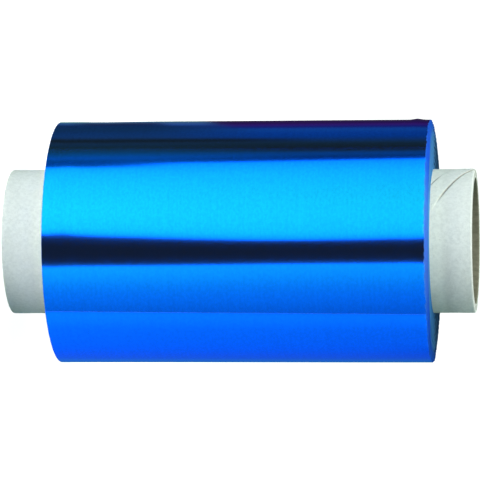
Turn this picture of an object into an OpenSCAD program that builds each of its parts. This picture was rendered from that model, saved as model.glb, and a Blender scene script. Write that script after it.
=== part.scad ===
// A roll of blue aluminium foil, wound on a spiral board tube that stands proud of the foil at both ends.
// The roll stands on the bottom end of its tube. The origin is on the axis at that end, and +Z runs up the tube.
// Angles round the roll are counted from the front (-Y) towards +X.

/* [Board tube] */
// Outside diameter of the tube
tube_d = 46; // [30:0.5:90]
// Thickness of the tube's wall, all plies together
tube_wall = 3; // [1.5:0.25:6]
// Length of tube that shows below the foil
stub_bottom = 15.75; // [4:0.25:40]
// Length of tube that shows above the foil
stub_top = 14; // [4:0.25:40]

/* [Outer ply of the tube] */
// Width of the paper strip that the outer ply is wound from
ply_w = 76; // [40:1:90]
// Angle at which the strip's edge meets the tube's top end
ply_angle = -82; // [-180:1:180]
// How far each turn of the strip laps over the turn before it
ply_lap = 5.5; // [2:0.5:15]
// Width of the crease along the strip's edge
seam_w = 0.6; // [0.3:0.1:1.5]
// Depth of the crease along the strip's edge
seam_depth = 0.3; // [0.1:0.05:0.8]
// Depth of the crease where the strip climbs over the lap
lap_depth = 0.15; // [0.05:0.05:0.4]

/* [Wound foil] */
// Width of the foil web
foil_w = 120; // [50:1:300]
// Depth of the wound foil, from the tube to the outermost turn
wind_depth = 15.9; // [6:0.1:40]
// Room between the tube and the first turn
wind_gap = 0.05; // [0:0.01:0.3]
// Angle of the free edge of the last turn
tail_angle = 35; // [0:1:359]
// How far the free edge stands off the turn below it
tail_step = 0.2; // [0.1:0.05:1]

/* [Ends of the wound foil] */
// How far the innermost turns stand out beyond the outermost at the top end
end_cone = 1; // [0:0.1:3]
// Radial depth of one band of turns that lie level with each other
band_t = 0.66; // [0.5:0.02:3]
// Largest slip of a band along the roll, out of the even cone
band_slip = 0.12; // [0:0.02:0.5]

/* [Hidden] */

// How far a cutter runs past the solid that it cuts
over = 1;
// Facets of a full circle, and slices of a full turn of a seam
round_fn = 180;
seam_slices = 60;
// Degrees that the slip of the bands moves on from one band to the next
slip_turn = 137;

tube_r = tube_d / 2;
tube_len = stub_bottom + foil_w + stub_top;
foil_r = tube_r + wind_depth;
foil_bore_r = tube_r + wind_gap;

// A strip that covers the tube without a gap climbs by its own width, square to its edge, in each turn
tube_girth = PI * tube_d;
climb_angle = asin((ply_w - ply_lap) / tube_girth);
climb = tube_girth * tan(climb_angle);
lap_rise = ply_lap / cos(climb_angle);

band_count = round((foil_r - foil_bore_r) / band_t);
band_step = (foil_r - foil_bore_r) / band_count;

// Board tube, wound from glued paper plies and cut to length as one piece
module core_tube() {
    color([0.85, 0.88, 0.86])
    difference() {
        cylinder(h = tube_len, r = tube_r, $fn = round_fn);
        translate([0, 0, -over])
            cylinder(h = tube_len + 2 * over, r = tube_r - tube_wall, $fn = round_fn);
        ply_crease(0, seam_depth);
        ply_crease(-lap_rise, lap_depth);
    }
}

// Crease that winds down the tube from the strip's edge at the top end, moved along the tube by rise
module ply_crease(rise, depth) {
    run = tube_len + 2 * over;
    turns = run / climb;
    // The crease climbs clockwise, so its angle at the lower end of the cutter lies ahead of the top end's
    start = ply_angle - 90 + 360 * (tube_len + over + rise) / climb;
    translate([0, 0, -over])
        rotate(start)
            linear_extrude(height = run, twist = 360 * turns, slices = ceil(seam_slices * turns))
                translate([tube_r - depth, -seam_w / 2])
                    square([depth + over, seam_w]);
}

// All turns of the foil as one solid: a spiral outside, and ends with a step from each band to the next
module foil_roll() {
    color([0.02, 0.4, 0.95])
    difference() {
        intersection() {
            translate([0, 0, stub_bottom])
                wound_bands();
            spiral_column();
        }
        translate([0, 0, -over])
            cylinder(h = tube_len + 2 * over, r = foil_bore_r, $fn = round_fn);
    }
}

// How far band i, counted from the tube, is shifted up the roll
function band_shift(i) =
    let (inward = 1 - i / (band_count - 1))
    end_cone * inward + band_slip * sin(slip_turn * i) * ceil(inward);

function band_r(i) = foil_bore_r - over + (i == 0 ? 0 : over + i * band_step);

// Bands of turns, each as tall as the foil is wide, round a plain middle that the tube's bore then clears
module wound_bands() {
    last_r = foil_r + over;
    top = [for (i = [0:band_count - 1], outer = [0, 1])
        [outer == 1 && i == band_count - 1 ? last_r : band_r(i + outer), foil_w + band_shift(i)]];
    bottom = [for (p = top) [p[0], p[1] - foil_w]];
    rotate_extrude($fn = round_fn)
        polygon(concat(top, [for (k = [len(bottom) - 1:-1:0]) bottom[k]]));
}

// Column whose outline is one turn of a spiral, drawn as four quarter circles round the corners of a small square.
// The radius is greatest just past the free edge, and falls by tail_step in the turn.
module spiral_column() {
    fall = tail_step / 4;
    rotate(tail_angle - 90)
        for (k = [0:3])
            rotate(90 * k)
                translate([fall / 2, -fall / 2, 0])
                    quarter_column(foil_r - fall * (k + 0.5));
}

module quarter_column(r) {
    intersection() {
        cylinder(h = tube_len, r = r, $fn = round_fn);
        cube([2 * r, 2 * r, tube_len]);
    }
}

core_tube();
foil_roll();
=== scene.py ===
from math import cos, exp, pi, radians, sin

import bpy
from mathutils import Matrix, Vector, noise


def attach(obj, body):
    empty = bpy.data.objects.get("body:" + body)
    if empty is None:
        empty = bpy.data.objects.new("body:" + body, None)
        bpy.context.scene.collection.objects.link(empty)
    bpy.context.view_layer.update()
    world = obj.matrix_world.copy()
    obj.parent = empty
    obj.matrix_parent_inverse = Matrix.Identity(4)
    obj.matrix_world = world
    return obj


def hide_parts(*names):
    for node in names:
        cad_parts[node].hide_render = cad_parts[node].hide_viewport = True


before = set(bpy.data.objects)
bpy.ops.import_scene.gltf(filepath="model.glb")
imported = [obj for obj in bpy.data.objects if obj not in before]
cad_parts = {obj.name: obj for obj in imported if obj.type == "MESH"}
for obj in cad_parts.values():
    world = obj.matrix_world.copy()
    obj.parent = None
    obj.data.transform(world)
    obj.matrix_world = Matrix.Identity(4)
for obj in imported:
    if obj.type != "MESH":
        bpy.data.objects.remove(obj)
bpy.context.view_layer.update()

# Camera. It looks square on to the roll, a little down from its top end, and is turned on its side,
# so that the standing roll lies level across the picture with its top end at the right.
FOIL_MIDDLE = Vector((0, 0, 0.07575))
LOOK_DOWN = radians(6.98)
SIDEWAYS_TILT = -0.00325
CAMERA_DISTANCE = 1.1751
CAMERA_LEFT = 0.00192
CAMERA_UP = 0.00051
FOCAL_PIXELS = 3648.9
PICTURE_PIXELS = 480
SENSOR_MM = 36
FARTHEST_SEEN = 100

backward = Vector((0, -cos(LOOK_DOWN), sin(LOOK_DOWN)))
along_roll = Vector((0, sin(LOOK_DOWN), cos(LOOK_DOWN)))
across_roll = Vector((-1, 0, 0))
picture_right = cos(SIDEWAYS_TILT) * along_roll + sin(SIDEWAYS_TILT) * across_roll
picture_up = cos(SIDEWAYS_TILT) * across_roll - sin(SIDEWAYS_TILT) * along_roll
camera_place = FOIL_MIDDLE + CAMERA_DISTANCE * backward - CAMERA_LEFT * picture_right + CAMERA_UP * picture_up

camera = bpy.data.objects.new("camera", bpy.data.cameras.new("camera"))
camera.data.sensor_width = SENSOR_MM
camera.data.lens = FOCAL_PIXELS * SENSOR_MM / PICTURE_PIXELS
camera.data.clip_end = FARTHEST_SEEN
camera.matrix_world = Matrix.Translation(camera_place) @ Matrix(
    (picture_right, picture_up, backward)).transposed().to_4x4()
bpy.context.scene.collection.objects.link(camera)
bpy.context.scene.camera = camera
bpy.context.scene.view_settings.view_transform = "Standard"


# Board tube: plies of recycled grey board, glued and wound on a spindle in a spiral, and cut to length.
# The outer ply laps over itself, which leaves a brownish crease along its edge and a fainter one where it
# climbs over the lap. The inside is brown kraft.
TUBE_R = 0.023
TUBE_WALL = 0.003
TUBE_LENGTH = 0.14975
PLY_CLIMB = 0.0807
PLY_EDGE_ANGLE = -82
LAP_RISE = 0.0063
LAP_STEP = 0.00008
CREASE_W = 0.0009
CREASE_DEPTH = 0.00024
# The crease is gone so far each way from this height, where the foil ends, and fades in from there
CREASE_GONE_AT = 0.1355
CREASE_GONE_REACH = 0.0026
CREASE_FADE = 0.0015
# The crease over the lap is shallower and paler, and fades upwards from this height
LAP_GROOVE = 0.35
LAP_SHADE = 0.7
LAP_FADE_FROM = 0.1383
LAP_FADE_LENGTH = 0.002
LAP_FADE = 0.92
# How far the creases show inside, and how far the cut ends go over to the crease's colour
INSIDE_SHADE = 0.8
CUT_SHADE = 0.45
RIM_ROUND = 0.00035
# The bottom end of the tube is a little out of round. It bulges towards -X, which dies away up to BULGE_END.
BULGE = 0.00045
BULGE_END = 0.0155
BULGE_FADE = 0.003
OUTSIDE_UNEVEN = 0.00005
INSIDE_UNEVEN = 0.00003
FRAY = 0.00006
TUBE_COLUMNS = 160
STUB_ROW_STEP = 0.0008
# Rows lie farther apart where the foil hides the tube
HIDDEN_ROW_STEP = 0.0016
HIDDEN_FROM = 0.0175
HIDDEN_TO = 0.1325
# Columns of the even spacing are left out so close to a crease, in widths of the crease
CREASE_CLEAR = 1.4
SHARP_ANGLE = radians(32)
# Places of the tube's finishes in its list
BOARD_FINISH = 0
KRAFT_FINISH = 1

BOARD_GREY = (0.74, 0.78, 0.732, 1)
BOARD_PALE = (0.84, 0.88, 0.828, 1)
BOARD_CLOUD = (0.77, 0.805, 0.757, 1)
BOARD_FIBRE = (0.58, 0.61, 0.56, 1)
CREASE_BROWN = (0.2, 0.185, 0.145, 1)
# Tint of the board near the foil, and the distances from the foil's middle over which it dies away
FOIL_SIDE_TINT = (1, 0.99, 0.925)
TINTED = (0.0622, 0.0688)
# Painted light: near the foil the board is lighter, standing in for light thrown onto it by the foil's ends.
# Painted shade: a little above the foil's top end the board is darker, most on the +X side, away from the
# lamps
LIT_NEAR_FOIL = (0.0625, 0.0665)
LIT_NEAR_FOIL_GAIN = 0.12
SHADE_STARTS = (0.1392, 0.142)
SHADE_ENDS = (0.1415, 0.1475)
SHADE_ACROSS = (-0.006, 0.014)
SHADE_LEAST = 0.02
SHADE_MOST = 0.13
KRAFT_DARK = (0.18, 0.177, 0.124, 1)
KRAFT_LIGHT = (0.25, 0.243, 0.18, 1)
KRAFT_CREASE = (0.08, 0.07, 0.05, 1)


class Finish:
    """An output in a material's nodes. Arithmetic on it adds Math nodes, and add() adds any other node."""

    def __init__(self, tree, output=None):
        self.tree = tree
        self.output = output

    def add(self, kind, settings=None, inputs=None, output=0):
        """A new node, with its settings set first and then its inputs, as a Finish of the named output."""
        made = self.tree.nodes.new("ShaderNode" + kind)
        for key, value in (settings or {}).items():
            setattr(made, key, value)
        for key, value in (inputs or {}).items():
            if isinstance(value, Finish):
                self.tree.links.new(value.output, made.inputs[key])
            else:
                made.inputs[key].default_value = value
        return Finish(self.tree, made.outputs[output] if made.outputs else None)

    def math(self, operation, *values):
        return self.add("Math", {"operation": operation}, dict(enumerate(values)))

    def __add__(self, other):
        return self.math("ADD", self, other)

    def __sub__(self, other):
        return self.math("SUBTRACT", self, other)

    def __rsub__(self, other):
        return self.math("SUBTRACT", other, self)

    def __mul__(self, other):
        return self.math("MULTIPLY", self, other)

    __radd__ = __add__
    __rmul__ = __mul__


def new_finish(name):
    material = bpy.data.materials.new(name)
    material.use_nodes = True
    material.node_tree.nodes.clear()
    return material, Finish(material.node_tree)


def grain(finish, places, scale, detail=2.0, rough=0.5):
    """Noise from 0 to 1 in places stretched by the three factors of scale."""
    stretched = finish.add("VectorMath", {"operation": "MULTIPLY"}, {0: places, 1: scale})
    return finish.add("TexNoise", {}, {
        "Vector": stretched, "Scale": 1.0, "Detail": detail, "Roughness": rough})


def band(finish, value, low, high, low_out, high_out):
    """value from low to high carried over to low_out to high_out, eased and held at both ends."""
    return finish.add("MapRange", {"interpolation_type": "SMOOTHSTEP"}, {
        "Value": value, "From Min": low, "From Max": high, "To Min": low_out, "To Max": high_out})


def blend_colour(finish, share, first, second):
    return finish.add("Mix", {"data_type": "RGBA"}, {"Factor": share, 6: first, 7: second}, 2)


def at_angle(radius, degrees, z):
    """A point at that radius and height, at degrees from the front (-Y) towards +X."""
    turn = radians(degrees)
    return Vector((radius * sin(turn), -radius * cos(turn), z))


def made_piece(name, points, faces, finishes, finish_of_face):
    mesh = bpy.data.meshes.new(name)
    mesh.from_pydata(points, [], faces)
    for material in finishes:
        mesh.materials.append(material)
    mesh.polygons.foreach_set("material_index", finish_of_face)
    mesh.polygons.foreach_set("use_smooth", [True] * len(faces))
    mesh.validate()
    mesh.set_sharp_from_angle(angle=SHARP_ANGLE)
    piece = bpy.data.objects.new(name, mesh)
    bpy.context.scene.collection.objects.link(piece)
    return piece


# Columns of the mesh follow the plies. They are counted in degrees from the outer ply's edge, and lie
# closer together at its crease and at the one over the lap.
girth = 2 * pi * TUBE_R
lap_turn = -360 * LAP_RISE / PLY_CLIMB
crease_turn = 360 * CREASE_W / girth
even_columns = [360 * k / TUBE_COLUMNS for k in range(TUBE_COLUMNS)]
columns = [turn for turn in even_columns
           if min(abs(turn - crease) for crease in (0, 360, 360 + lap_turn)) > CREASE_CLEAR * crease_turn]
columns += [crease + share * crease_turn
            for crease in (0, lap_turn) for share in (-1, -0.6, -0.3, 0, 0.3, 0.6, 1)]
columns = sorted(turn % 360 for turn in columns)

rim_rows = [share * RIM_ROUND for share in (0.0, 0.08, 0.3, 1.0, 1.5)]
side_levels = list(rim_rows)
while side_levels[-1] < TUBE_LENGTH - 2 * STUB_ROW_STEP:
    in_foil = HIDDEN_FROM < side_levels[-1] < HIDDEN_TO
    side_levels.append(side_levels[-1] + (HIDDEN_ROW_STEP if in_foil else STUB_ROW_STEP))
side_levels += [TUBE_LENGTH - level for level in reversed(rim_rows)]

wall_rows = [("outside", level) for level in side_levels]
wall_rows += [("rim", share) for share in (0.2, 0.5, 0.8)]
wall_rows += [("inside", level) for level in reversed(side_levels)]
wall_rows += [("foot", share) for share in (0.8, 0.5, 0.2)]


def rim_rounding(level):
    """How far the wall's corner is worn round at that level."""
    from_end = min(level, TUBE_LENGTH - level)
    sunk = max(0.0, 1 - from_end / RIM_ROUND)
    return RIM_ROUND * (1 - (1 - sunk * sunk) ** 0.5)


def bulge_at(degrees, level):
    """How far the wall stands out at that place, which dies away where the foil begins."""
    return BULGE * (1 - sin(radians(degrees))) / 2 * min(1, max(0, (BULGE_END - level) / BULGE_FADE))


def crease_at(turn, level):
    """How far the outer face lies below the plain tube at that turn and level, and how deep it is in each of
    the two creases, from 0 to 1."""
    from_edge = (turn if turn < 180 else turn - 360) / 360 * girth
    lap = LAP_RISE * girth / PLY_CLIMB
    fade = 1 - exp(-(max(0, abs(level - CREASE_GONE_AT) - CREASE_GONE_REACH) / CREASE_FADE) ** 2)
    lap_fade = 1 - LAP_FADE * min(1, max(0, (level - LAP_FADE_FROM) / LAP_FADE_LENGTH))
    groove = fade * exp(-(from_edge / (0.5 * CREASE_W)) ** 2)
    lap_groove = lap_fade * exp(-((from_edge + lap) / (0.5 * CREASE_W)) ** 2)
    proud = LAP_STEP if -lap < from_edge < 0 else 0
    return CREASE_DEPTH * (groove + LAP_GROOVE * lap_groove) - proud, groove, lap_groove


tube_points = []
crease_shades = []
for side, place in wall_rows:
    row_level = {"rim": TUBE_LENGTH, "foot": 0.0}.get(side, place)
    for turn in columns:
        degrees = PLY_EDGE_ANGLE + turn + 360 * (TUBE_LENGTH - row_level) / PLY_CLIMB
        sunk, edge_shade, lap_shade = crease_at(turn, row_level)
        uneven = noise.noise((turn / 15, row_level * 60, 1))
        outer = TUBE_R - rim_rounding(row_level) - sunk + OUTSIDE_UNEVEN * uneven
        outer += bulge_at(degrees, row_level)
        uneven = noise.noise((turn / 9, row_level * 90, 5))
        inner = TUBE_R - TUBE_WALL + rim_rounding(row_level) + INSIDE_UNEVEN * uneven
        inner += bulge_at(degrees, row_level)
        level = row_level
        if side == "outside":
            radius, shade = outer, edge_shade + LAP_SHADE * lap_shade
        elif side == "inside":
            radius, shade = inner, INSIDE_SHADE * edge_shade
        else:
            radius, shade = outer + (inner - outer) * place, CUT_SHADE
            fray = FRAY * abs(noise.noise((radians(degrees) * 9, place * 3, 2)))
            level += fray if side == "foot" else -fray
        tube_points.append(at_angle(radius, degrees, level))
        crease_shades.append(shade)

tube_faces = []
tube_finish = []
for row, (side, place) in enumerate(wall_rows):
    above = (row + 1) % len(wall_rows)
    for k in range(len(columns)):
        nxt = (k + 1) % len(columns)
        tube_faces.append([r * len(columns) + c for r, c in ((row, k), (row, nxt), (above, nxt), (above, k))])
        inside = side == "inside" and wall_rows[above][0] == "inside"
        tube_finish.append(KRAFT_FINISH if inside else BOARD_FINISH)

board, card_stock = new_finish("recycled_board")
places = card_stock.add("TexCoord", {}, {}, "Object")
crease = card_stock.add("Attribute", {"attribute_name": "crease"}, {}, "Fac")
mottle = grain(card_stock, places, (900, 900, 900), 3, 0.65)
fibre = grain(card_stock, places, (1500, 1500, 1100), 2, 0.6)
cloud = grain(card_stock, places, (80, 80, 60), 2, 0.5)
pale = blend_colour(card_stock, band(card_stock, mottle, 0.32, 0.68, 0, 1), BOARD_GREY, BOARD_PALE)
pale = blend_colour(card_stock, band(card_stock, cloud, 0.35, 0.7, 0, 0.35), pale, BOARD_CLOUD)
pale = blend_colour(card_stock, band(card_stock, fibre, 0.58, 0.78, 0, 0.4), pale, BOARD_FIBRE)
pale = blend_colour(card_stock, crease, pale, CREASE_BROWN)
height = card_stock.add("SeparateXYZ", {}, {0: places}, 2)
sideways = card_stock.add("SeparateXYZ", {}, {0: places}, 0)
from_middle = card_stock.math("ABSOLUTE", height - FOIL_MIDDLE.z)
warm = card_stock.add("VectorMath", {"operation": "MULTIPLY"}, {0: pale, 1: FOIL_SIDE_TINT})
pale = blend_colour(card_stock, band(card_stock, from_middle, *TINTED, 1, 0), pale, warm)
# Painted light: the board is lighter near the foil's ends
painted_light = band(card_stock, from_middle, *LIT_NEAR_FOIL, LIT_NEAR_FOIL_GAIN, 0)
# Painted shade: the board is darker a little above the foil's top end, most on the +X side, away from the
# lamps
painted_shade = band(card_stock, height, *SHADE_STARTS, 0, 1) * band(card_stock, height, *SHADE_ENDS, 1, 0)
painted_shade = painted_shade * band(card_stock, sideways, *SHADE_ACROSS, SHADE_LEAST, SHADE_MOST)
pale = card_stock.add("VectorMath", {"operation": "SCALE"}, {0: pale, "Scale": 1 + painted_light - painted_shade})
fuzz = card_stock.add("Bump", {}, {"Strength": 0.35, "Distance": 0.0001, "Height": fibre + mottle})
card_stock.add("OutputMaterial", {}, {"Surface": card_stock.add("BsdfPrincipled", {}, {
    "Base Color": pale, "Roughness": 0.75, "Specular IOR Level": 0.08, "Normal": fuzz})})

kraft, brown_paper = new_finish("kraft_inside")
places = brown_paper.add("TexCoord", {}, {}, "Object")
crease = brown_paper.add("Attribute", {"attribute_name": "crease"}, {}, "Fac")
fibre = grain(brown_paper, places, (900, 900, 500), 4, 0.6)
brown = blend_colour(brown_paper, band(brown_paper, fibre, 0.3, 0.7, 0, 1), KRAFT_DARK, KRAFT_LIGHT)
brown = blend_colour(brown_paper, crease * 0.7, brown, KRAFT_CREASE)
fuzz = brown_paper.add("Bump", {}, {"Strength": 0.3, "Distance": 0.0001, "Height": fibre})
brown_paper.add("OutputMaterial", {}, {"Surface": brown_paper.add("BsdfPrincipled", {}, {
    "Base Color": brown, "Roughness": 0.85, "Specular IOR Level": 0.2, "Normal": fuzz})})

tube = made_piece("board_tube", tube_points, tube_faces, (board, kraft), tube_finish)
tube.data.attributes.new("crease", "FLOAT", "POINT").data.foreach_set("value", crease_shades)
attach(tube, "root")
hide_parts("core_tube")


# Wound foil: a web of thin aluminium, lacquered blue, slit to width and wound tight on the tube.
# Its side is a mirror with fine rolling lines round the roll, and its ends are the slit edges of the turns,
# which have slipped so that the top end stands out towards the tube.
FOIL_R = 0.0389
FOIL_BORE_R = 0.02305
FOIL_BOTTOM = 0.01575
FOIL_W = 0.12
FOIL_TOP = FOIL_BOTTOM + FOIL_W
# How far the bands of turns rise towards the tube, and over how much of their depth
END_RISE = 0.00065
RISE_DEPTH = 0.0055
BANDS = 24
BAND_SLIP = 0.00012
SLIP_TURN = 137
BAND_UNEVEN = 0.00008
TAIL_ANGLE = 35
TAIL_STEP = 0.00004
# The web ran a little askew, so the free edge moves on by so many degrees from the bottom end to the top
TAIL_SKEW = 1.9
# The free edge lifts off the turn below, and by so much more at the bottom end
TAIL_LIFT = 0.000055
BOTTOM_LIFT = 0.4
TAIL_LIFT_LENGTH = 0.0018
EDGE_BEVEL = 0.0001
# How far the slit edge at the top end stands out at the front and lies in at the back
TOP_LEAN = 0.00024
# How far it stands out on the +X side and lies in on the -X side
SIDE_LEAN = 0.00015
# Teeth of a slit edge, as how far they stand out and how close they lie round it
BOTTOM_TEETH = (0.00005, 27)
BACK_TEETH = (0.0003, 22)
TOP_TEETH = ((0.0002, 14), (0.0002, 36), (0.00016, 117))
# How far slow dents all over the side stand in or out
SLOW_DENTS = 0.000035
# A hump and a dent, as how far out, the height and its reach, and the degrees and their reach
HUMP = (0.00036, 0.1313, 0.0014, 270, 9)
DENT = (-0.00011, 0.0305, 0.008, 270, 12)
# Ripples at the two ends of the web, as how far out, the length over which they die away, and which noise
BOTTOM_RIPPLE = (0.00011, 0.009, 3)
TOP_RIPPLE = (0.00006, 0.006, 7)
FOIL_COLUMNS = 600
SIDE_ROWS = 64
# How much closer together the rows lie at the two ends, where the web ripples, than at the middle
ROW_CROWDING = 0.55
# Which end a slit edge lies at, which also picks its unevenness
BOTTOM_END = 9
TOP_END = 3
# Places of the foil's finishes in its list
LACQUERED = 0
SLIT_EDGE = 1

FOIL_BLUE = (0.004, 0.13, 0.93)
# The lighter blue of the painted glints on the top slit edge
GLINT_BLUE = (0.022, 0.155, 0.93, 1)
LACQUER_TINT = (0.55, 0.42, 1.0, 1)
# Heights over which the painted glints begin, close to the top end
GLINT_FROM = (0.1353, 0.1356)
EDGE_STEEL = (0.088, 0.335, 0.75, 1)
EDGE_DARK = (0.01, 0.05, 0.20, 1)
EDGE_VIOLET_SIDE = (0.015, 0.14, 0.84, 1)
# A lighter violet painted on the front of the slit edges, as light on the near side
EDGE_VIOLET_PAINTED_LIT = (0.075, 0.21, 0.84, 1)
# Radii over which the slit edges go over from steel to violet, and how much farther in the violet reaches at
# the front, as painted light
STEEL_TO_VIOLET = (0.033, 0.0375)
LIT_VIOLET_SHIFT = 0.006
# Painted shade: places along Y over which the slit edges grow darker towards the back, and what is left of
# their colour
BACK_SHADE_PLACES = (-0.004, 0.01)
BACK_SHADE_LEFT = 0.7
# How strongly the slit edges lean away from the axis in their shading
EDGE_LEAN = (1.35, 1.35, 1.35)


def swelling(degrees, z, out, at_z, reach_z, at_degrees, reach_degrees):
    """How far one dent or hump of the side stands out at that place."""
    return out * exp(-((z - at_z) / reach_z) ** 2 - ((degrees - at_degrees) / reach_degrees) ** 2)


def side_wave(degrees, z):
    """How far the side stands proud of the even spiral: dents, and ripples that die away from the ends."""
    turn = radians(degrees)
    spot = Vector((1.6 * sin(turn), 1.6 * cos(turn), 0))
    wave = SLOW_DENTS * noise.noise(spot + Vector((0, 0, z * 22)))
    wave += swelling(degrees, z, *HUMP)
    wave += swelling(degrees, z, *DENT)
    for from_end, (out, length, pick) in ((z - FOIL_BOTTOM, BOTTOM_RIPPLE), (FOIL_TOP - z, TOP_RIPPLE)):
        wave += out * exp(-from_end / length) * noise.noise(2 * spot + Vector((pick, 0, z * 200)))
    return wave


def spiral_r(column, z):
    """Radius of the outermost turn: greatest just past the free edge, and least just before it."""
    from_edge = 2 * pi * FOIL_R * column / FOIL_COLUMNS
    lift = TAIL_LIFT * (1 + BOTTOM_LIFT * ((FOIL_TOP - z) / FOIL_W) ** 2)
    return FOIL_R - TAIL_STEP * column / FOIL_COLUMNS + lift * exp(-from_edge / TAIL_LIFT_LENGTH)


def edge_tooth(degrees, end):
    """How far up the slit edge of the outer turns lies. At the top end it leans, and its teeth are larger."""
    turn = radians(degrees)
    ring = Vector((sin(turn), cos(turn), end))
    if end == BOTTOM_END:
        return BOTTOM_TEETH[0] * noise.noise(BOTTOM_TEETH[1] * ring)
    out = TOP_LEAN * cos(turn) + SIDE_LEAN * sin(turn)
    out += BACK_TEETH[0] * (1 - cos(turn)) * noise.noise(BACK_TEETH[1] * ring)
    for size, closeness in TOP_TEETH:
        out += size * noise.noise(closeness * ring)
    return out


def band_level(i, degrees, end):
    """How far up the roll band i of the turns lies, counted from the tube, with a little unevenness."""
    inward = 1 - i / (BANDS - 1)
    rise = END_RISE * sin(pi / 2 * min(1, inward * (FOIL_R - FOIL_BORE_R) / RISE_DEPTH))
    slip = BAND_SLIP * sin(radians(SLIP_TURN * i)) * (1 if inward > 0 else 0)
    turn = radians(degrees)
    uneven = BAND_UNEVEN * noise.noise((1.2 * sin(turn), 1.2 * cos(turn), 1.7 * i))
    uneven *= 1 if inward > 0 else 0.3
    return rise + slip + uneven + edge_tooth(degrees, end) * max(0, 1 - 4 * inward)


def column_angle(column, z):
    """Degrees of a column at height z. The first column runs along the free edge."""
    up = (z - FOIL_BOTTOM) / FOIL_W
    return TAIL_ANGLE + TAIL_SKEW * (up - 0.5) + 360 * column / FOIL_COLUMNS


foil_points = []
foil_faces = []
foil_finish = []


def add_ring(columns, place):
    """A ring of points round the roll, one in each column, where place(column) puts it."""
    ring = list(range(len(foil_points), len(foil_points) + columns))
    foil_points.extend(place(column) for column in range(columns))
    return ring


def join(low, high, finish, outward=True):
    """Faces between two rings, and one for the cut free edge if a ring has a column more for it."""
    for column in range(FOIL_COLUMNS):
        quad = (low[column], low[(column + 1) % len(low)], high[(column + 1) % len(high)], high[column])
        foil_faces.append(quad if outward else quad[::-1])
        foil_finish.append(finish)
    if len(low) > FOIL_COLUMNS:
        over_edge = (low[-1], low[0], high[0]) + ((high[-1],) if len(high) > FOIL_COLUMNS else ())
        foil_faces.append(over_edge if outward else over_edge[::-1])
        foil_finish.append(SLIT_EDGE)


def side_place(share):
    """Where the side's row lies that is that share of the way up. The two end rows follow the teeth."""
    even = FOIL_W * (share - ROW_CROWDING * sin(2 * pi * share) / (2 * pi))
    z = FOIL_BOTTOM + min(max(even, EDGE_BEVEL), FOIL_W - EDGE_BEVEL)

    def place(column):
        degrees = column_angle(column, z)
        tooth = edge_tooth(degrees, BOTTOM_END if share == 0 else TOP_END) if share in (0, 1) else 0
        return at_angle(spiral_r(column, z) + side_wave(degrees, z), degrees, z + tooth)
    return place


def end_place(level, end, i, outer):
    """Where the outer or the inner corner of band i lies, at the end of the roll that is at that level."""
    rim = i == BANDS - 1 and outer

    def place(column):
        degrees = column_angle(column, level)
        outermost = spiral_r(column, level) - EDGE_BEVEL if rim else FOIL_R - TAIL_STEP
        radius = FOIL_BORE_R + (outermost - FOIL_BORE_R) * (i + outer) / BANDS
        return at_angle(radius, degrees, level + band_level(i, degrees, end))
    return place


side_rings = [add_ring(FOIL_COLUMNS + 1, side_place(row / SIDE_ROWS)) for row in range(SIDE_ROWS + 1)]
for low, high in zip(side_rings, side_rings[1:]):
    join(low, high, LACQUERED)
bore_rings = []
for level, end, side_ring, upward in ((FOIL_BOTTOM, BOTTOM_END, side_rings[0], False),
                                      (FOIL_TOP, TOP_END, side_rings[-1], True)):
    ring = side_ring
    for i in reversed(range(BANDS)):
        for outer in (1, 0):
            spare = 1 if i == BANDS - 1 and outer else 0
            following = add_ring(FOIL_COLUMNS + spare, end_place(level, end, i, outer))
            join(ring, following, SLIT_EDGE, upward)
            ring = following
    bore_rings.append(ring)
join(bore_rings[0], bore_rings[1], SLIT_EDGE, False)

lacquer, blue = new_finish("blue_lacquer")
places = blue.add("TexCoord", {}, {}, "Object")
rolling_lines = grain(blue, places, (12, 12, 1500), 2, 0.6)
speckle = grain(blue, places, (900, 900, 1300), 2, 0.6)
tone = band(blue, rolling_lines * 0.25 + speckle * 0.75, 0.3, 0.7, 0.93, 1.07)
side_blue = blue.add("VectorMath", {"operation": "SCALE"}, {0: FOIL_BLUE, "Scale": tone})
# Painted glints: the lacquer is lighter in spots along the slit edge at the top end, where the edge's teeth
# catch the light
glint_spots = band(blue, grain(blue, places, (650, 650, 400), 2, 0.6), 0.48, 0.62, 0, 1)
glint_mask = glint_spots * band(blue, blue.add("SeparateXYZ", {}, {0: places}, 2), *GLINT_FROM, 0, 1)
side_blue = blend_colour(blue, glint_mask, side_blue, GLINT_BLUE)
lines = blue.add("Bump", {}, {
    "Strength": 0.12, "Distance": 0.00002, "Height": rolling_lines + speckle * 0.15})
blue.add("OutputMaterial", {}, {"Surface": blue.add("BsdfPrincipled", {}, {
    "Base Color": side_blue, "Metallic": 1.0, "Roughness": 0.2, "Specular Tint": LACQUER_TINT,
    "Anisotropic": 0.9, "Anisotropic Rotation": 0.25, "Normal": lines})})

slit, edges = new_finish("slit_edges")
places = edges.add("TexCoord", {}, {}, "Object")
across = edges.add("VectorMath", {"operation": "MULTIPLY"}, {0: places, 1: (1, 1, 0)})
radius = edges.add("VectorMath", {"operation": "LENGTH"}, {0: across}, "Value")
turns = edges.add("TexNoise", {"noise_dimensions": "1D"}, {"W": radius * 5200, "Scale": 1.0, "Detail": 3.0})
wear = grain(edges, places, (500, 500, 500), 3, 0.6)
back_place = edges.add("SeparateXYZ", {}, {0: places}, 1)
facing_back = edges.math("DIVIDE", back_place, radius)
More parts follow.
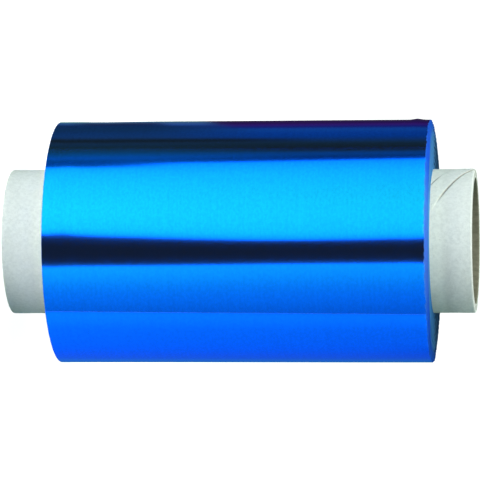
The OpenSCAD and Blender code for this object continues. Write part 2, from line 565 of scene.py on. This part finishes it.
# Painted light: at the front the violet reaches farther in and is lighter
lit_violet_shift = band(edges, facing_back, -1, -0.3, LIT_VIOLET_SHIFT, 0)
steel_to_violet = band(edges, radius + lit_violet_shift + (wear - 0.5) * 0.001, *STEEL_TO_VIOLET, 0, 1)
painted_light_front = band(edges, facing_back, -1, -0.7, 1, 0)
violet = blend_colour(edges, painted_light_front, EDGE_VIOLET_SIDE, EDGE_VIOLET_PAINTED_LIT)
edge_blue = blend_colour(edges, steel_to_violet, EDGE_STEEL, violet)
edge_blue = blend_colour(edges, band(edges, turns, 0.4, 0.75, 0, 0.3), edge_blue, EDGE_DARK)
# Painted shade: the slit edges are darker towards the back
edge_blue = edges.add("VectorMath", {"operation": "SCALE"}, {
    0: edge_blue, "Scale": band(edges, back_place, *BACK_SHADE_PLACES, 1, BACK_SHADE_LEFT)})
ring_bump = edges.add("Bump", {}, {"Strength": 0.6, "Distance": 0.00015, "Height": turns + wear * 0.3})
# The knife turned each edge a little outwards, so the ends shade as if they leaned away from the axis
outward = edges.add("VectorMath", {"operation": "NORMALIZE"}, {0: across})
leaning = edges.add("VectorMath", {"operation": "MULTIPLY_ADD"}, {0: outward, 1: EDGE_LEAN, 2: ring_bump})
edge_normal = edges.add("VectorMath", {"operation": "NORMALIZE"}, {0: leaning})
edges.add("OutputMaterial", {}, {"Surface": edges.add("BsdfPrincipled", {}, {
    "Base Color": edge_blue, "Metallic": 0.25, "Roughness": 0.5, "Specular IOR Level": 0.2,
    "Normal": edge_normal})})

foil = made_piece("foil_turns", foil_points, foil_faces, (lacquer, slit), foil_finish)
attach(foil, "root")
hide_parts("foil_roll")


# Floor: a wide pale sweep that the roll stands on. Seen by the camera it is close to white of itself, and it
# keeps the roll's soft shadow. It lets the light of the lamp below it through.
FLOOR_REACH = 30
FLOOR_CORNERS = ((-1, -1), (1, -1), (1, 1), (-1, 1))
FLOOR_GREY = (0.7, 0.7, 0.7, 1)
FLOOR_LIGHT = (1, 0.985, 0.98, 1)
FLOOR_STRENGTH = 0.9


def seen_directly(finish):
    """1 for a ray from the camera or from a gloss that it sees, and 0 for one that lights a matt face."""
    rays = finish.tree.nodes.new("ShaderNodeLightPath")
    kinds = [Finish(finish.tree, rays.outputs[kind]) for kind in
             ("Is Camera Ray", "Is Glossy Ray", "Is Transmission Ray")]
    lit_before = finish.math("GREATER_THAN", Finish(finish.tree, rays.outputs["Diffuse Depth"]), 0.5)
    return (kinds[0] + kinds[1] + kinds[2]) * (1 - lit_before)


floor_mesh = bpy.data.meshes.new("floor")
floor_mesh.from_pydata([(FLOOR_REACH * x, FLOOR_REACH * y, 0) for x, y in FLOOR_CORNERS], [], [(0, 1, 2, 3)])
floor = bpy.data.objects.new("floor", floor_mesh)
bpy.context.scene.collection.objects.link(floor)
pale_floor, floor_finish = new_finish("pale_floor")
own_light = floor_finish.add("Emission", {}, {
    "Color": FLOOR_LIGHT, "Strength": seen_directly(floor_finish) * FLOOR_STRENGTH})
matt_grey = floor_finish.add("BsdfDiffuse", {}, {"Color": FLOOR_GREY})
floor_finish.add("OutputMaterial", {}, {
    "Surface": floor_finish.add("AddShader", {}, {0: own_light, 1: matt_grey})})
floor_mesh.materials.append(pale_floor)
floor.visible_shadow = False
floor.visible_glossy = False


# Studio: two large soft lamps in front of the roll, on the side that is upward in the picture, one above the
# roll and one below the floor, so that both ends of the tube are lit alike, in grey air that is white to the
# camera.
AIR_COLOUR = (0.27, 0.362, 0.32, 1)
AIR_SEEN = (1, 1, 1, 1)
LAMP_SIZE = 0.75
LAMP_DISTANCE = 1.3
LAMP_DEGREES = -31
LAMP_RISE = 53

world = bpy.data.worlds.new("studio_air")
bpy.context.scene.world = world
world.use_nodes = True
world.node_tree.nodes.clear()
air = Finish(world.node_tree)
air_light = blend_colour(air, seen_directly(air), AIR_COLOUR, AIR_SEEN)
air.add("OutputWorld", {}, {"Surface": air.add("Background", {}, {"Color": air_light, "Strength": 1.0})})

for name, rise, watts, tint in (("upper_lamp", LAMP_RISE, 16.5, (1, 1, 1)),
                                ("under_lamp", -LAMP_RISE, 17.2, (1, 1, 0.95))):
    light = bpy.data.lights.new(name, "AREA")
    light.shape = "SQUARE"
    light.size = LAMP_SIZE
    light.energy = watts
    light.color = tint
    from_foil = at_angle(LAMP_DISTANCE * cos(radians(rise)), LAMP_DEGREES, LAMP_DISTANCE * sin(radians(rise)))
    lamp = bpy.data.objects.new(name, light)
    lamp.location = from_foil + FOIL_MIDDLE
    lamp.rotation_euler = from_foil.to_track_quat("Z", "Y").to_euler()
    lamp.visible_glossy = False
    bpy.context.scene.collection.objects.link(lamp)


# Cards round the roll, which only its gloss sees: a soft box that is brightest towards the front, a dark gap
# before it, panels below that fade downwards, and dark flags and walls behind. Each card runs from one angle
# to another, given for the foil's bottom end and for its top end.
CARD_R = 0.1
CARD_BOTTOM = -0.15
CARD_TOP = 0.32
CARD_CELLS = 48
CARD_ROWS = 48
# How red a cool panel's light is, where a stop doesn't say
COOL_RED = 0.3
# Heights on the cards that the two ends of the foil mirror to the camera
MIRRORED_BOTTOM = 0.0
MIRRORED_TOP = 0.128


def between(first, second, share):
    return first + (second - first) * share


def through(points, value):
    """The height of a line through points at that value."""
    for (low, first), (high, last) in zip(points, points[1:]):
        if value <= high:
            return between(first, last, (value - low) / (high - low))
    return points[-1][1]


def card(name, at_bottom, at_top, stops, reach=(0, 1), bow=((0, 0), (1, 0)), push=0.0,
         start=CARD_BOTTOM, slant=0.0, end=CARD_TOP, end_slant=0.0):
    """A card from one angle to another, each given at the foil's bottom and at its top. A stop is a share of
    the way across, with the light at the foil's bottom and at its top, and reach is the part of the height
    over which the one goes over to the other. bow gives shares of the height and the degrees that the card's
    last edge moves on there. push moves the card out, behind others. start and slant place its lower end,
    and end and end_slant its upper end."""
    points = []
    lights = []
    for row in range(CARD_ROWS + 1):
        for cell in range(CARD_CELLS + 1):
            share = cell / CARD_CELLS
            z = between(start + slant * share, end + end_slant * share, row / CARD_ROWS)
            up = min(max((z - MIRRORED_BOTTOM) / (MIRRORED_TOP - MIRRORED_BOTTOM), 0), 1)
            gone = min(max((up - reach[0]) / (reach[1] - reach[0]), 0), 1)
            first = between(at_bottom[0], at_top[0], gone)
            last = between(at_bottom[1], at_top[1], gone) + through(bow, up)
            points.append(at_angle(CARD_R + push, between(first, last, share), z))
            after = next(k for k in range(1, len(stops)) if share <= stops[k][0])
            last_stop, next_stop = stops[after - 1], stops[after]
            part = (share - last_stop[0]) / (next_stop[0] - last_stop[0])
            for low, low_next, high, high_next in zip(last_stop[1], next_stop[1], last_stop[2], next_stop[2]):
                lights.append(between(between(low, low_next, part), between(high, high_next, part), gone))
            lights.append(1)
    mesh = bpy.data.meshes.new(name)
    width = CARD_CELLS + 1
    mesh.from_pydata(points, [], [(row * width + cell, row * width + cell + 1,
                                   (row + 1) * width + cell + 1, (row + 1) * width + cell)
                                  for row in range(CARD_ROWS) for cell in range(CARD_CELLS)])
    mesh.color_attributes.new("light", "FLOAT_COLOR", "POINT").data.foreach_set("color", lights)
    material, finish = new_finish(name)
    colour = finish.add("Attribute", {"attribute_name": "light"}, {}, "Color")
    finish.add("OutputMaterial", {}, {"Surface": finish.add("Emission", {}, {
        "Color": colour, "Strength": seen_directly(finish)})})
    mesh.materials.append(material)
    made = bpy.data.objects.new(name, mesh)
    for rays in ("camera", "diffuse", "shadow", "transmission", "volume_scatter"):
        setattr(made, "visible_" + rays, False)
    bpy.context.scene.collection.objects.link(made)


def cool_panel(low_gain, high_gain, *stops, high_blue=1):
    """Stops of a panel whose light is short of red, scaled at the foil's bottom and at its top. Each is given
    as its share of the way across, its light, and how blue and how red that light is, where it isn't 1 and
    COOL_RED. high_blue scales the blue once more at the top."""
    made = []
    for share, light, *parts in stops:
        blue_part, red_part = parts + [1, COOL_RED][len(parts):]
        colour = Vector((red_part, 1, blue_part)) * light
        at_top = colour * high_gain
        made.append((share, tuple(colour * low_gain), (at_top[0], at_top[1], at_top[2] * high_blue)))
    return made


card("soft_box", (-64.2, -6.4), (-69, -2.2), cool_panel(
    1.09, 0.93,
    (0, 2.5), (0.08, 3.0, 0.9), (0.2, 3.7, 0.4), (0.35, 4.15, 0.265), (0.58, 4.65, 0.24),
    (0.72, 4.75, 0.28), (0.84, 4.5, 0.6), (0.93, 4.05), (1, 2.4), high_blue=1.07),
     bow=((0, 0), (0.05, 0), (0.12, 0.75), (0.32, 1.86), (0.5, 2.8), (0.62, 2.9), (0.76, 2.24), (1, 0)))
card("lower_panel", (18.5, 58.9), (16.3, 61.4), cool_panel(
    1.07, 0.88,
    (0, 2.65), (0.07, 2.5, 0.8), (0.15, 2.31, 0.5), (0.27, 1.98, 0.54), (0.4, 1.55, 0.64),
    (0.52, 1.3, 0.73), (0.64, 1.13, 0.82), (0.76, 1.0, 0.85), (0.88, 0.83, 0.9), (1, 0.69, 0.92),
    high_blue=1.13))
card("floor_panel", (58.9, 150), (61.4, 150), cool_panel(
    1.13, 0.91,
    (0, 1.5), (0.06, 1.35), (0.17, 1.03, 1.05), (0.28, 0.95, 1.1), (0.46, 0.95, 1.08), (0.6, 1.01, 0.9),
    (0.7, 1.08, 0.74, 0.16), (0.8, 0.96, 0.7, 0.1), (0.9, 0.45, 1.15, 0.1), (1, 0.35, 1.2, 0.1)))
card("back_panel", (150, 209), (150, 209), cool_panel(
    1, 1, (0, 0.5, 1, 0.1), (0.35, 0.85), (0.65, 0.9), (1, 0.3)))

GAP_DARK = (1.3, 0.083, 0.03)
card("dark_gap", (-10, 22), (-10, 22), [(0, GAP_DARK, GAP_DARK), (1, GAP_DARK, GAP_DARK)], push=0.004)
card("blue_fringe", (-67, -61.3), (-67, -67), [
    (0, (0.03, 0.36, 0.34), (0.22, 0.383, 0.24)), (0.6, (0.02, 0.27, 0.26), (0.22, 0.393, 0.235)),
    (1, (0.5, 0.84, 0.37), (0.28, 0.5, 0.31))], reach=(0.25, 0.4), push=-0.002)
card("dim_wall", (-81.5, -62), (-81.5, -66), [
    (0, (1.05, 0.25, 0.063), (1.42, 0.049, 0.003)), (0.077, (0.79, 0.296, 0.081), (1.05, 0.081, 0.009)),
    (0.17, (0.54, 0.351, 0.161), (1.09, 0.243, 0.085)), (0.24, (0.53, 0.428, 0.236), (0.7, 0.294, 0.174)),
    (0.3, (0.39, 0.473, 0.245), (0.43, 0.307, 0.24)), (0.42, (0.24, 0.505, 0.37), (0.28, 0.363, 0.29)),
    (0.53, (0.36, 0.53, 0.485), (0.35, 0.193, 0.113)), (0.64, (0.03, 0.362, 0.21), (0.24, 0.143, 0.172)),
    (0.74, (0.02, 0.298, 0.226), (0.02, 0.095, 0.157)), (1, (0.11, 0.48, 0.232), (0.06, 0.426, 0.378))],
     reach=(0.27, 0.75), push=0.002)
card("black_flag", (-96.5, -90), (-96.5, -90), [
    (0, (1.13, 0.145, 0.031), (0.48, 0.244, 0.172)), (0.3, (0.77, 0.077, 0.0095), (0.66, 0.225, 0.137)),
    (0.577, (0.79, 0.086, 0.016), (0.84, 0.209, 0.099)), (0.854, (1.57, 0.194, 0.064), (1.11, 0.201, 0.068)),
    (1, (1.6, 0.22, 0.072), (1.15, 0.177, 0.05))], reach=(0.56, 0.74), push=0.001)
card("lower_black_flag", (-90, -81.5), (-90, -81.5), [
    (0, (1.6, 0.22, 0.072), (1.15, 0.177, 0.05)), (0.118, (1.38, 0.245, 0.083), (1.18, 0.155, 0.037)),
    (0.365, (0.55, 0.156, 0.055), (1.05, 0.118, 0.03)), (0.647, (1.6, 0.154, 0.032), (1.13, 0.12, 0.029)),
    (1, (1.07, 0.262, 0.067), (1.35, 0.056, 0.0045))], reach=(0.2, 0.62), push=0.001)
card("blue_wall", (-151, -96.5), (-151, -96.5), [
    (0, (0.2, 0.456, 0.298), (0.2, 0.38, 0.263)), (0.2, (0.18, 0.44, 0.2), (0.15, 0.5, 0.3)),
    (0.3, (0.06, 0.12, 0.07), (0.13, 0.45, 0.23)), (0.47, (0.07, 0.274, 0.097), (0.15, 0.455, 0.255)),
    (0.62, (0.18, 0.326, 0.094), (0.24, 0.437, 0.261)), (0.7, (0.31, 0.285, 0.101), (0.24, 0.546, 0.295)),
    (0.81, (0.46, 0.292, 0.134), (0.26, 0.357, 0.279)), (0.94, (0.93, 0.298, 0.143), (0.23, 0.285, 0.239)),
    (1, (1.13, 0.145, 0.031), (0.52, 0.246, 0.172))], reach=(0.3, 0.6), push=0.004)
card("violet_flag", (-151, -117), (-151, -117), [(share, light, light) for share, light in (
    (0, (0.1, 0.035, 0.06)), (0.4, (0.09, 0.063, 0.062)), (0.57, (0.14, 0.042, 0.078)),
    (0.68, (0.38, 0.095, 0.127)), (0.8, (0.45, 0.129, 0.16)), (0.92, (0.18, 0.11, 0.153)),
    (1, (0.28, 0.303, 0.218)))],
     push=0.003, start=0.05, slant=0.012, end_slant=0.012)
# Two glints on the outline, one from the foil's bottom end on and one just before the violet flag
card("bottom_glint", (-151, -128), (-151, -128), [(share, light, light) for share, light in (
    (0, (0.3, 0.8, 0.35)), (0.5, (0.2, 0.65, 0.28)), (1, (0.1, 0.5, 0.22)))],
     push=-0.003, end=0.0113, end_slant=-0.003)
card("middle_glint", (-151, -125), (-151, -125), [(share, light, light) for share, light in (
    (0, (0.15, 0.4, 0.2)), (0.5, (0.17, 0.45, 0.23)), (0.75, (0.2, 0.65, 0.28)), (1, (0.2, 0.7, 0.3)))],
     push=-0.003, start=0.0345, slant=0.0055, end=0.05, end_slant=0.006)
END_DARK = (0.02, 0.05, 0.08)
card("end_flag", (100, 260), (100, 260), [(0, END_DARK, END_DARK), (1, END_DARK, END_DARK)],
     push=-0.001, start=0.1365)
